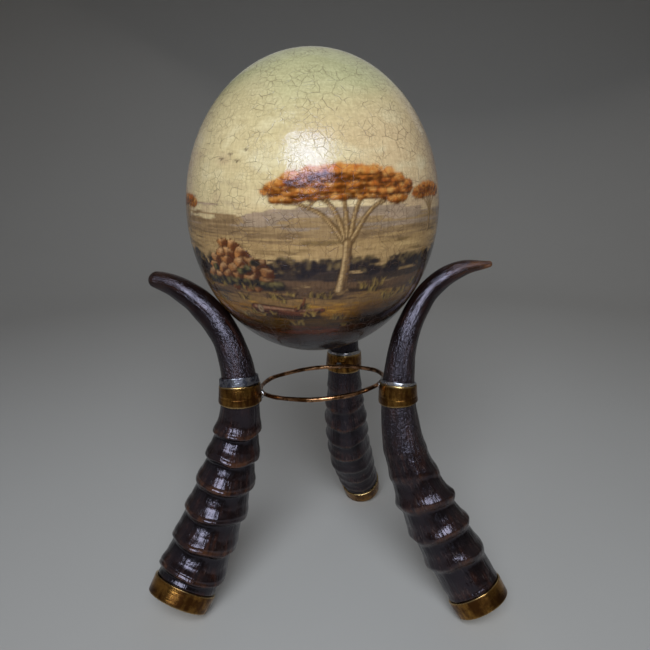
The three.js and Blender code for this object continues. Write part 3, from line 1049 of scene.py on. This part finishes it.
def make_horn(leg, finish):
    """The horn: its girth carried along its path, with ridges below the collar, shallow flutes along it,
    and a tip that closes as half an ellipse."""
    dome = 0.9 * leg.radius(leg.length)
    closing = leg.length - dome * (1 - np.sin(np.linspace(0, pi / 2, 9)))[1:]
    rows = np.concatenate([np.arange(FOOT, leg.length - dome, HORN_ROW_GAP), closing])
    distance, angle = np.meshgrid(rows, round_angles(HORN_COLUMNS), indexing="ij")
    past = distance - leg.collar
    relief, lip, groove, knob = ridge_relief(leg, distance, angle)
    grain = grain_of(distance, angle)
    above = smooth(past, 0, 0.04)
    below = smooth(past, -0.040, -0.010) * leg.fibre ** 2
    flutes = 0.00010 * (1.3 - above) * leg.fibre * uneven(grain / (1, 1, 9), 0.0042, leg.seed + 4)
    lumps = 0.00018 * uneven(grain, 0.016, leg.seed + 5) * (1 - hump(past, 0.006, 0.012))
    end = np.clip((distance - leg.length + dome) / dome, 0, 1)
    end = np.sqrt(np.clip(1 - end ** 2, 0.0004, 1))
    radius = (leg.radius(distance) * leg.oval(angle) + relief + flutes + lumps) * end
    values = {
        "grain": grain,
        "lip": np.clip(lip + 0.25 * knob, 0, 1),
        # The grooves' depth, which the horn's finish paints as shade.
        "groove": groove,
        "tip": leg.tip_glow * smooth(distance, leg.length - 0.030, leg.length + 0.002) ** 1.4,
        "fibre": np.clip(leg.fibre * (1 - above) + 0.15 * groove, 0, 1),
        "scaly": np.maximum(below, past > 0) * (1 - smooth(past, 0.016, 0.056)),
    }
    piece = surface("horn_of_" + leg.side, leg.place(distance, angle, radius), "closed", values)
    hand_over(piece, finish, "horn", "horn_" + leg.side)


def bound(leg, name, outline, closed, edges, waver, dent, crease=None):
    """A brass or solder piece: an outline of (radius, distance) carried round the horn, with wavering
    ends and soft dents, and optionally one crease that goes round it."""
    distance, angle = np.broadcast_arrays(outline[:, 1][:, None], round_angles(BAND_COLUMNS)[None, :])
    radius = outline[:, 0][:, None] * leg.oval(angle)
    around = np.stack([np.cos(angle), np.sin(angle), distance / 0.01], -1)
    low, high = edges
    end = (smooth(distance, low, high) - 0.5) * 2
    distance = distance + waver * end * uneven(around[..., :2], 1.1, leg.seed + 7)
    radius = radius + dent * uneven(around, 1.3, leg.seed + 8) * np.minimum(1, radius / leg.radius(low))
    if crease is not None:
        outer = smooth(outline[:, 0] - leg.radius(outline[:, 1]), 0.0008, 0.0011)[:, None]
        radius = radius - 0.00022 * outer * hump(distance, crease, 0.00028)
    # Where the brass finish paints its highlight: along both edges of the sheet.
    edge_highlight = np.maximum(hump(distance, low, 0.0004), hump(distance, high, 0.0004))
    values = {"grain": grain_of(distance, angle), "edge": edge_highlight}
    return surface(name, leg.place(distance, angle, radius), "joined" if closed else "closed", values)


def make_cap(leg, finish):
    """A cup of sheet brass over the horn's foot, its sole flat, its rim and lower edge rounded over."""
    low, high = leg.radius(0) + SNUG, leg.radius(CAP_HEIGHT) + SNUG
    middle, inside = 0.0004, FOOT - SNUG
    corners = [
        (middle, 0), (low + CAP_WALL, 0), (high + CAP_WALL, CAP_HEIGHT), (high, CAP_HEIGHT),
        (low, inside), (middle, inside),
    ]
    outline = rounded_outline(corners, 0.0007, 0.0004, closed=False)
    piece = bound(leg, "cap_of_" + leg.side, outline, False, (0, CAP_HEIGHT), 0.0, 0.00010)
    hand_over(piece, finish, "brass", "foot_cap_" + leg.side)


def make_band(leg, finish, name, slot, node, edges, gap, walls, waver, dent, crease=None):
    """A sheet that goes once round the horn, as thick as walls says at its lower and upper edge, with
    both edges rounded."""
    low, high = edges
    inner, outer = leg.radius(low) + gap, leg.radius(high) + gap
    corners = [(inner, low), (inner + walls[0], low), (outer + walls[1], high), (outer, high)]
    outline = rounded_outline(corners, 0.0005, 0.0003, closed=True)
    piece = bound(leg, name + leg.side, outline, True, edges, waver, dent, crease)
    hand_over(piece, finish, slot, node + leg.side)


def make_collar(leg, finish):
    """A brass band with rounded edges and a crease where it was dressed down."""
    edges = leg.collar, leg.collar + leg.collar_height
    crease = leg.collar + 0.40 * leg.collar_height
    walls = COLLAR_WALL, COLLAR_WALL
    make_band(leg, finish, "band_of_", "brass", "collar_", edges, SNUG, walls, 0.00022, 0.00009, crease)


def make_seat(leg, finish):
    """White metal run round the top of the collar, with uneven edges."""
    low = leg.collar + leg.collar_height + 0.0001
    edges = low, low + leg.seat + 0.0002
    walls = SEAT_WALL, SEAT_WALL * 0.8
    make_band(leg, finish, "solder_of_", "white_metal", "seat_", edges, 0.00005, walls, 0.00028, 0.00016)


def ring_axes():
    """Two directions in the ring's plane, the first towards +X, and the one square to it."""
    first = np.array([1, 0, RING_SLOPE[0]])
    first /= np.linalg.norm(first)
    square = np.array([-RING_SLOPE[0], -RING_SLOPE[1], 1])
    square /= np.linalg.norm(square)
    return first, np.cross(square, first), square


def make_ring(finish):
    """A hand-bent ring of wire: a torus whose middle line and wire both vary a little."""
    turn, around = np.meshgrid(*map(round_angles, RING_GRID), indexing="ij")
    first, second, square = ring_axes()
    circle = np.stack([np.cos(turn), np.sin(turn)], -1)
    bend = 0.00022 * uneven(circle, 1.0, 91)
    wire = WIRE_RADIUS * (1 + 0.05 * uneven(circle, 0.35, 92))
    reach = (RING_RADIUS + bend + wire * np.cos(around))[..., None]
    rise = 0.00018 * uneven(circle, 0.9, 93) + wire * np.sin(around)
    out = circle[..., :1] * first + circle[..., 1:] * second
    points = ring_centre() + reach * out + rise[..., None] * square
    hand_over(surface("ring_of_wire", points, "joined"), finish, "wire", "wire_ring")


def make_bead(leg, finish):
    """A bead of solder from the wire to the collar: a lumpy egg shape, longest upwards."""
    square = ring_axes()[2]
    turn = radians(leg.azimuth)
    out = np.array([cos(turn), sin(turn), RING_SLOPE[0] * cos(turn) + RING_SLOPE[1] * sin(turn)])
    axes = np.array([out, np.cross(square, out), square])
    centre = ring_centre() + BEAD_REACH * out + 0.0003 * square
    rows, columns = BEAD_GRID
    tilt, around = np.meshgrid(np.linspace(0.03, pi - 0.03, rows), round_angles(columns), indexing="ij")
    way = np.stack([np.sin(tilt) * np.cos(around), np.sin(tilt) * np.sin(around), np.cos(tilt)], -1)
    lumpy = (1 + 0.14 * uneven(way, 1.6, leg.seed + 9))[..., None]
    points = centre + (way * lumpy * BEAD_HALF) @ axes
    hand_over(surface("solder_bead_" + leg.side, points), finish, "white_metal")


def make_floor(settings):
    """A floor that curves up into a wall all round: flat, then a quarter of a circle, then upright."""
    flat, bend, wall = 0.75, 0.55, 0.9
    level = np.linspace(0.02, flat, 30)[:-1]
    turn = np.linspace(0, pi / 2, 24)
    reach = np.concatenate([level, flat + bend * np.sin(turn), [flat + bend]])
    rise = np.concatenate([0 * level, bend * (1 - np.cos(turn)), [bend + wall]])
    around = round_angles(96)
    across = reach[:, None]
    points = np.stack([across * np.cos(around), across * np.sin(around), rise[:, None] + 0 * around], -1)
    floor = surface("floor", points, "open")
    floor.data.materials.append(pale_floor(settings))


# Light and camera

# The camera's place and the point that the softbox faces, both from the ring's middle.
CAMERA = (0.0020, -0.3350, 0.1249)
SOFTBOX_AIM = (-0.0035, -0.0580, 0.1199)
SOFTBOX_AZIMUTH = -3
SOFTBOX_ELEVATION = 33.5
SOFTBOX_AWAY = 0.85
SOFTBOX_SIZE = (0.60, 0.52)
SOFTBOX_COLOUR = (0.83, 0.905, 1.0)
CAMERA_PITCH = 15.478
CAMERA_ROLL = 0.57
LENS = 36
# The fill lights: the point they face, their size, and each one's name, azimuth, elevation, distance,
# share of the power and colour.
FILL_AIM = (0, 0, 0.13)
FILL_SIZE = (1.2, 0.8)
FILLS = (
    ("left fill", -78, 24, 0.95, 1.0, (0.93, 0.90, 1.0)),
    ("right fill", 82, 30, 0.95, 0.7, (1.0, 0.97, 0.93)),
    ("back fill", 168, 38, 1.1, 1.6, (1.0, 0.98, 0.95)),
)
ROOM = (0.80, 0.84, 0.88, 1)


def add_softbox(name, target, azimuth, elevation, away, size, power, colour, spread=180, drop=0.0):
    """A rectangular light in that direction from target. It faces a point that is drop lower, and sends
    its light into a cone of spread degrees. Azimuth is from the front, positive to the right."""
    turn, climb = radians(azimuth), radians(elevation)
    way = Vector((sin(turn) * cos(climb), -cos(turn) * cos(climb), sin(climb)))
    place = Vector(target) + way * away
    back = place - Vector(target) + Vector((0, 0, drop))
    light = bpy.data.lights.new(name, "AREA")
    light.shape = "RECTANGLE"
    light.size, light.size_y = size
    light.energy = power
    light.color = colour
    light.spread = radians(spread)
    lamp = bpy.data.objects.new(name, light)
    lamp.matrix_world = Matrix.Translation(place) @ back.to_track_quat("Z", "Y").to_matrix().to_4x4()
    bpy.context.scene.collection.objects.link(lamp)


def add_camera():
    """A camera in front of the stand, a little above the egg's middle, looking down."""
    pitch, roll = radians(CAMERA_PITCH), radians(CAMERA_ROLL)
    upright = Vector((0, sin(pitch), cos(pitch)))
    level = Vector((1, 0, 0))
    right = cos(roll) * level - sin(roll) * upright
    up = sin(roll) * level + cos(roll) * upright
    ahead = Vector((0, cos(pitch), -sin(pitch)))
    data = bpy.data.cameras.new("camera")
    data.sensor_width = data.lens = LENS
    data.clip_start = 0.01
    camera = bpy.data.objects.new("camera", data)
    turned = Matrix((right, up, -ahead)).transposed().to_4x4()
    camera.matrix_world = Matrix.Translation(Vector(ring_centre() + CAMERA)) @ turned
    bpy.context.scene.collection.objects.link(camera)
    bpy.context.scene.camera = camera


def make_stage(settings):
    """The floor, the camera, one softbox above the front, faint lights all round and a dim room."""
    make_floor(settings)
    add_camera()
    aim = ring_centre() + SOFTBOX_AIM
    key, fill = settings.key_power, settings.fill_power
    add_softbox("softbox", aim, SOFTBOX_AZIMUTH, SOFTBOX_ELEVATION, SOFTBOX_AWAY, SOFTBOX_SIZE, key,
                SOFTBOX_COLOUR, spread=80, drop=0.05)
    for name, azimuth, elevation, away, share, tint in FILLS:
        add_softbox(name, FILL_AIM, azimuth, elevation, away, FILL_SIZE, fill * share, tint)
    scene = bpy.context.scene
    scene.world = bpy.data.worlds.new("room")
    scene.world.use_nodes = True
    room = scene.world.node_tree.nodes["Background"].inputs
    room["Color"].default_value = ROOM
    room["Strength"].default_value = settings.room
    scene.view_settings.view_transform = "Standard"


# The add-on's settings, operators and panel

def colour(name, description, default):
    """A setting that is a colour, from a hex code or three numbers."""
    default = tuple(tone(default))
    return bpy.props.FloatVectorProperty(
        name=name, description=description, default=default, subtype="COLOR", min=0, max=2
    )


def amount(name, description, default, least=0, **more):
    """A setting that is a number."""
    return bpy.props.FloatProperty(name=name, description=description, default=default, min=least, **more)


class EggSettings(bpy.types.PropertyGroup):
    """The painting's colours and the varnish's cracks"""
    leaves: colour("Leaves", "The acacias' leaves in the light", "c9702a")
    stone: colour("Stone", "The boulders in the light", "bd7a42")
    wood: colour("Wood", "The acacias' bark in the light", "cfae82")
    sky: colour("Sky tint", "A tint over the sky; white leaves it as it is", (1, 1, 1))
    plain: colour("Plain tint", "A tint over the grassland; white leaves it as it is", (1, 1, 1))
    ground: colour("Ground tint", "A tint over the near ground; white leaves it as it is", (1, 1, 1))
    crack: colour("Cracks", "The dirt in the varnish's cracks", "553a22")
    crackle: amount("Crackle size", "How far apart the larger cracks are", 0.0066, 0.001, unit="LENGTH")
    crackle_depth: amount("Crackle strength", "How dark the cracks are", 0.62, max=1, subtype="FACTOR")


class HornSettings(bpy.types.PropertyGroup):
    """The horns' colours"""
    dark: colour("Dark horn", "The horn's main colour", (0.0060, 0.0030, 0.0028))
    streak: colour("Streaks", "The reddish streaks along the horn", (0.030, 0.0100, 0.0060))
    scratch: colour("Scratches", "The pale scratches along the fibres", (0.085, 0.062, 0.054))
    lip: colour("Ridge lips", "The brown lower edges of the ridges", (0.062, 0.024, 0.0100))
    tip: colour("Tips", "The thin, warm end of a horn", (0.150, 0.058, 0.014))


class MetalSettings(bpy.types.PropertyGroup):
    """The colours of the brass, the wire and the solder"""
    brass: colour("Brass", "The caps and collars where they are bright", (0.34, 0.170, 0.038))
    tarnish: colour("Tarnish", "The caps and collars where they are tarnished", (0.075, 0.029, 0.008))
    wire: colour("Wire", "The ring", (0.42, 0.22, 0.11))
    # A painted highlight: the light colour laid along the brass edges.
    edge_highlight: colour("Highlit brass", "The brass edges where they are highlit bright", (0.62, 0.44, 0.20))
    rim: colour("Bright solder", "The beads and the thin rims", (0.62, 0.60, 0.58))
    solder: colour("Solder", "The white metal where it is bright", (0.36, 0.37, 0.42))
    solder_dull: colour("Dull solder", "The white metal where it is dull", (0.08, 0.08, 0.105))


class StageSettings(bpy.types.PropertyGroup):
    """The floor's colour and the lights' powers"""
    floor: colour("Floor", "The floor and the wall it curves up into", (0.48, 0.46, 0.43))
    key_power: amount("Softbox", "The main light's power", 2.35, unit="POWER")
    fill_power: amount("Side light", "The side lights' power", 0.5, unit="POWER")
    room: amount("Room", "The brightness of the room all round", 0.06)


def legs():
    """The three horns' middle lines, left, right and back."""
    return [Leg(side) for side in LEGS]


class MakeEgg(bpy.types.Operator):
    """Make the egg, paint its landscape and lay the crackled varnish over it"""
    bl_idname = "egg_stand.egg"
    bl_label = "Painted egg"

    def execute(self, context):
        make_egg(context.scene.egg_paint)
        return {"FINISHED"}


class MakeHorns(bpy.types.Operator):
    """Make the three ridged horns"""
    bl_idname = "egg_stand.horns"
    bl_label = "Horns"

    def execute(self, context):
        finish = polished_horn(context.scene.egg_horn)
        for leg in legs():
            make_horn(leg, finish)
        return {"FINISHED"}


class MakeBrass(bpy.types.Operator):
    """Make the caps on the horns' feet and the collars at their waists"""
    bl_idname = "egg_stand.brass"
    bl_label = "Caps and collars"

    def execute(self, context):
        finish = aged_brass(context.scene.egg_metal)
        for leg in legs():
            make_cap(leg, finish)
            make_collar(leg, finish)
        return {"FINISHED"}


class MakeRing(bpy.types.Operator):
    """Make the wire ring"""
    bl_idname = "egg_stand.ring"
    bl_label = "Wire ring"

    def execute(self, context):
        make_ring(coppery_wire(context.scene.egg_metal))
        return {"FINISHED"}


class MakeSolder(bpy.types.Operator):
    """Make the white metal above the collars and the beads that hold the ring"""
    bl_idname = "egg_stand.solder"
    bl_label = "Solder"

    def execute(self, context):
        colours = context.scene.egg_metal
        dull = run_solder("Dull solder", colours.solder, colours.solder_dull)
        bright = run_solder("Bright solder", colours.rim, colours.solder)
        for leg in legs():
            make_seat(leg, dull if leg.seat > BROAD_SEAT else bright)
            make_bead(leg, bright)
        return {"FINISHED"}


class MakeStage(bpy.types.Operator):
    """Make the floor, the lights and the camera"""
    bl_idname = "egg_stand.stage"
    bl_label = "Stage"

    def execute(self, context):
        make_stage(context.scene.egg_stage)
        return {"FINISHED"}


# Each group of settings, with its class and the operators that use it.
GROUPS = {
    "egg_paint": (EggSettings, MakeEgg),
    "egg_horn": (HornSettings, MakeHorns),
    "egg_metal": (MetalSettings, MakeBrass, MakeRing, MakeSolder),
    "egg_stage": (StageSettings, MakeStage),
}


class EGG_PT_stand(bpy.types.Panel):
    """Lists the settings, each group over its operators"""
    bl_label = "Egg stand"
    bl_space_type = "VIEW_3D"
    bl_region_type = "UI"
    bl_category = "Egg stand"

    def draw(self, context):
        for name, (group, *operators) in GROUPS.items():
            box = self.layout.box()
            for setting in group.__annotations__:
                box.prop(getattr(context.scene, name), setting)
            for operator in operators:
                box.operator(operator.bl_idname)


CLASSES = [item for row in GROUPS.values() for item in row] + [EGG_PT_stand]


def register():
    """Registers every class, then hangs each group of settings on the scene."""
    for item in CLASSES:
        bpy.utils.register_class(item)
    for name, (group, *_) in GROUPS.items():
        setattr(bpy.types.Scene, name, bpy.props.PointerProperty(type=group))


def unregister():
    """Takes away what register adds, in the opposite order."""
    for name in GROUPS:
        delattr(bpy.types.Scene, name)
    for item in reversed(CLASSES):
        bpy.utils.unregister_class(item)


def main():
    register()
    for name in ("stage", "egg", "horns", "brass", "ring", "solder"):
        getattr(bpy.ops.egg_stand, name)()


if __name__ == "__main__":
    main()
